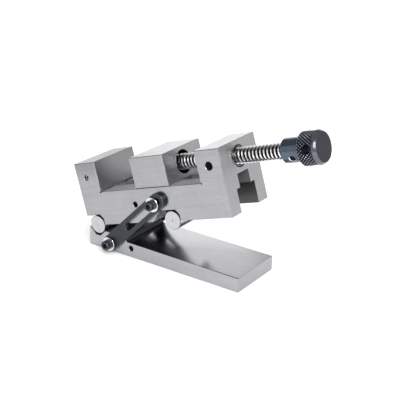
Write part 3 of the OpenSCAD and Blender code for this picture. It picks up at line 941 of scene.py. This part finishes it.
turned("lead_screw_threaded",
       [(81.6, 0.0), (81.6, 5.6), (82.0, 6.0), (83.85, 6.0), (83.85, 3.9), (88.15, 3.9), (88.15, 6.0), (93.55, 6.0), (RUN_IN - 0.05, 6.0)],
       (RUN_IN, KNOB_U - 0.1),
       [(KNOB_U - 0.05, 6.0), (KNOB_U + 23.4, 6.0), (KNOB_U + 23.8, 5.6), (KNOB_U + 23.8, 0.0)],
       72, "screw_assembly", ["lead_screw"], [M["thread"], M["bright"], M["screw_black"]], limit=screw_limit,
       pick=lambda p: 0 if RUN_IN - 0.02 < p.x < KNOB_U - 0.05 else 2 if 88.2 < p.x < 100.0 else 1)

# ---------------------------------------------------------------- nut
refine("bronze_nut", "bronze_nut_turned", "tilting_body", [M["bronze"]], lambda c, n, f: 0, edge_mm=0.0, rim_mm=0.15)

# ---------------------------------------------------------------- knob
TEETH = 32
KNURL_ROWS = 8


def knob_mesh():
    seg = TEETH * 2
    bm = bmesh.new()
    u = KNOB_U
    deep = 1.0
    k0, k1 = u + 20.3, u + 34.7

    def ring(x, r):
        return [bm.verts.new(along_screw(x, 2 * math.pi * i / seg, r)) for i in range(seg)]

    rows = []
    kinds = []
    plain = [(u + 0.0, 6.03), (u + 0.0, 11.15), (u + 0.6, 11.75), (u + 18.55, 11.75), (u + 18.8, 12.0), (u + 18.8, 14.35), (u + 20.2, 15.8)]
    for x, r in plain:
        rows.append(ring(x, r))
    first_knurl = len(rows)
    for q in range(KNURL_ROWS + 1):
        x = k0 + (k1 - k0) * q / KNURL_ROWS
        crest = knurl_crest(x - u)
        row = []
        for i in range(seg):
            r = crest if (i + q) % 2 else crest - deep
            row.append(bm.verts.new(along_screw(x, 2 * math.pi * i / seg, r)))
        rows.append(row)
    last_knurl = len(rows) - 1
    for x, r in [(u + 34.75, 15.95), (u + 34.9, 16.1), (u + 35.3, 16.1), (u + 38.7, 14.15), (u + 38.78, 14.05), (u + 38.78, 10.5), (u + 38.78, 4.0)]:
        rows.append(ring(x, r))
    for k in range(len(rows) - 1):
        a, b = rows[k], rows[k + 1]
        for i in range(seg):
            j = (i + 1) % seg
            if first_knurl <= k < last_knurl:
                q = k - first_knurl
                # split along the groove, so that the tips stand alone
                if (i + q) % 2:
                    bm.faces.new((a[i], b[i], a[j]))
                    bm.faces.new((a[j], b[i], b[j]))
                else:
                    bm.faces.new((a[i], b[j], a[j]))
                    bm.faces.new((a[i], b[i], b[j]))
            else:
                bm.faces.new((a[i], b[i], b[j], a[j]))
    tip = bm.verts.new(along_screw(u + 38.78, 0, 0))
    last = rows[-1]
    for i in range(seg):
        bm.faces.new((last[i], tip, last[(i + 1) % seg]))
    # blind bore
    inner = ring(u + 24.1, 6.03)
    first = rows[0]
    for i in range(seg):
        j = (i + 1) % seg
        bm.faces.new((first[i], first[j], inner[j], inner[i]))
    cone = bm.verts.new(along_screw(u + 24.5, 0, 0))
    for i in range(seg):
        bm.faces.new((inner[i], inner[(i + 1) % seg], cone))
    bmesh.ops.recalc_face_normals(bm, faces=bm.faces)
    return bm


def cutter(name, centre, direction, rings, seg=48):
    """A round cutting tool: rings are (distance along direction, radius), in mm."""
    d = direction.normalized()
    s = d.orthogonal().normalized()
    w = d.cross(s)
    bm = spin(rings, seg, lambda h, a, r: centre + d * (h * MM) + s * (r * MM * math.cos(a)) + w * (r * MM * math.sin(a)))
    me = bpy.data.meshes.new(name)
    bm.to_mesh(me)
    bm.free()
    ob = bpy.data.objects.new(name, me)
    bpy.context.scene.collection.objects.link(ob)
    return ob


def carve(bm, tools):
    """bm minus the tools, as a new bmesh."""
    me = bpy.data.meshes.new("blank")
    bm.to_mesh(me)
    bm.free()
    ob = bpy.data.objects.new("blank", me)
    bpy.context.scene.collection.objects.link(ob)
    for tool in tools:
        mod = ob.modifiers.new("cut", "BOOLEAN")
        mod.operation = "DIFFERENCE"
        mod.solver = "EXACT"
        mod.object = tool
    bpy.context.view_layer.update()
    dg = bpy.context.evaluated_depsgraph_get()
    ev = ob.evaluated_get(dg)
    out = bmesh.new()
    out.from_mesh(ev.to_mesh())
    ev.to_mesh_clear()
    for o in [ob, *tools]:
        m = o.data
        bpy.data.objects.remove(o)
        bpy.data.meshes.remove(m)
    return out


def yv_dir(deg):
    a = math.radians(deg)
    return Vector((-math.sin(a) * ST, -math.cos(a), math.sin(a) * CT))


centre_bar = from_body(KNOB_U + 29.1, 0, SCREW_V)
bar_dir = yv_dir(8.0)
bar = cutter("bar_tool", centre_bar, bar_dir, [(-18, 0), (-18, 7.05), (-15.2, 4.25), (15.2, 4.25), (18, 7.05), (18, 0)])
centre_set = from_body(KNOB_U + 10.6, 0, SCREW_V)
set_tool = cutter("set_tool", centre_set, yv_dir(-30.0), [(4.0, 0), (4.0, 2.92), (11.2, 2.92), (11.8, 3.5), (13, 4.7), (13, 0)])
kb = carve(knob_mesh(), [bar, set_tool])
bmesh.ops.remove_doubles(kb, verts=kb.verts, dist=1e-7)
kb.normal_update()
for f in kb.faces:
    c = to_body(f.calc_center_median())
    r = math.hypot(c.y, c.z - SCREW_V)
    knurled = KNOB_U + 20.25 < c.x < KNOB_U + 34.72 and 14.6 < r < 16.2
    f.smooth = not knurled
    f.material_index = 1 if c.x > KNOB_U + 38.7 else 6 if c.x > KNOB_U + 34.72 else 2 if knurled else 3 if r < 5.5 or (r < 11.0 and c.x < KNOB_U + 24) else 0
    # the cut of the tools: dark walls, bright countersinks
    if not knurled and KNOB_U + 4.0 < c.x < KNOB_U + 37.0 and r < 15.7:
        for tip, way, hole in ((centre_bar, bar_dir, 4.25), (centre_set, yv_dir(-30.0), 2.92)):
            rel = f.calc_center_median() - tip
            along = rel.dot(way)
            off = (rel - way * along).length / MM
            slope = f.normal.dot(way)
            if off < hole * 1.06 and abs(slope) < 0.3 and r < 15.2:
                f.material_index = 4
            elif 0.35 < abs(slope) < 0.95 and off < hole + 2.2 and abs(f.normal.dot(rel - way * along)) > 0.0 and abs(abs(along) / MM) > 9.0 and abs(abs(slope) - 0.7071) < 0.06 and hole - 0.1 < off:
                f.material_index = 5
add_object("knob_knurled", kb, [M["knob"], M["knob_face"], M["knurl"], M["bore"], M["screw_black"], M["countersink"], M["knob_rim"]], "screw_assembly", ["knob"], sharp=30.0)

# ---------------------------------------------------------------- floor
fm = bpy.data.meshes.new("floor")
S = 8.0
fm.from_pydata([(-S, -S, 0), (S, -S, 0), (S, S, 0), (-S, S, 0)], [], [(0, 1, 2, 3)])
floor = bpy.data.objects.new("floor", fm)
floor.location.z = -0.0002
bpy.context.scene.collection.objects.link(floor)
ft = Tree("floor_white")
ft.set(color=(0.93, 0.93, 0.93, 1), roughness=0.75, spec=0.1)
fm.materials.append(ft.mat)

# ---------------------------------------------------------------- camera
yaw, pitch, roll = (math.radians(a) for a in (34.209, -22.323, 1.309))
fwd = Vector((-math.sin(yaw) * math.cos(pitch), math.cos(yaw) * math.cos(pitch), math.sin(pitch)))
right = Vector((math.cos(yaw), math.sin(yaw), 0.0))
upv = right.cross(fwd)
r2 = right * math.cos(roll) + upv * math.sin(roll)
u2 = -right * math.sin(roll) + upv * math.cos(roll)
cd = bpy.data.cameras.new("camera")
cam = bpy.data.objects.new("camera", cd)
bpy.context.scene.collection.objects.link(cam)
cd.sensor_fit = "HORIZONTAL"
cd.sensor_width = 36.0
cd.lens = 84.096
cd.clip_start = 0.01
cd.clip_end = 50.0
cam.matrix_world = Matrix(((r2.x, u2.x, -fwd.x, 0.503807), (r2.y, u2.y, -fwd.y, -0.704779), (r2.z, u2.z, -fwd.z, 0.418171), (0, 0, 0, 1)))
bpy.context.scene.camera = cam

# ---------------------------------------------------------------- light
world = bpy.data.worlds.new("studio")
bpy.context.scene.world = world
world.use_nodes = True
wt = world.node_tree
bg = wt.nodes["Background"]
bg.inputs["Strength"].default_value = 1.0
wc = wt.nodes.new("ShaderNodeTexCoord")
ws = wt.nodes.new("ShaderNodeSeparateXYZ")
wm = wt.nodes.new("ShaderNodeMapRange")
wr = wt.nodes.new("ShaderNodeValToRGB")
wt.links.new(wc.outputs["Generated"], ws.inputs[0])
wt.links.new(ws.outputs["Z"], wm.inputs["Value"])
wm.inputs["From Min"].default_value = -1.0
wt.links.new(wm.outputs["Result"], wr.inputs["Fac"])
wt.links.new(wr.outputs["Color"], bg.inputs["Color"])
# brightness by the sine of the elevation: white sweep, dark gap above it, ceiling
SKY = [(-1.0, 1.15), (-0.02, 1.15), (0.02, 1.0), (0.42, 1.0), (0.50, 0.2), (0.74, 0.2), (0.84, 0.6), (0.90, 0.6), (0.95, 0.4), (1.0, 0.4)]
wr.color_ramp.elements[0].position = 0.0
wr.color_ramp.elements[1].position = 1.0
for z, v in SKY[1:-1]:
    wr.color_ramp.elements.new((z + 1) / 2)
for el, (z, v) in zip(wr.color_ramp.elements, SKY):
    el.position = (z + 1) / 2
    el.color = (v, v, v, 1.0)


def softbox(name, place, aim, size, radiance):
    """A soft light of the given size and brightness; the camera doesn't see it."""
    ld = bpy.data.lights.new(name, "AREA")
    ld.shape = "RECTANGLE"
    ld.size, ld.size_y = size
    ld.energy = radiance * math.pi * size[0] * size[1]
    ob = bpy.data.objects.new(name, ld)
    ob.location = place
    ob.rotation_euler = (Vector(aim) - Vector(place)).to_track_quat("-Z", "Y").to_euler()
    ob.visible_camera = False
    bpy.context.scene.collection.objects.link(ob)
    return ob


softbox("key", (0.95, -0.55, 0.85), (0, 0, 0.05), (0.8, 0.8), 6.0)
softbox("front", (0.565, -0.89, 0.86), (0.15, 0, 0.14), (0.3, 0.7), 9.0)
# the ceiling light fills in; the polished round parts mirror the dark ceiling in its place
softbox("top", (-0.2, 0.5, 2.4), (-0.2, 0.5, 0.0), (3.2, 3.2), 1.9).visible_glossy = False
softbox("back_left", (-0.726, 1.018, 0.43), (0, 0, 0.43), (0.40, 0.84), 0.5)

scene = bpy.context.scene
scene.view_settings.view_transform = "Standard"
scene.view_settings.look = "None"
scene.view_settings.exposure = 0.0
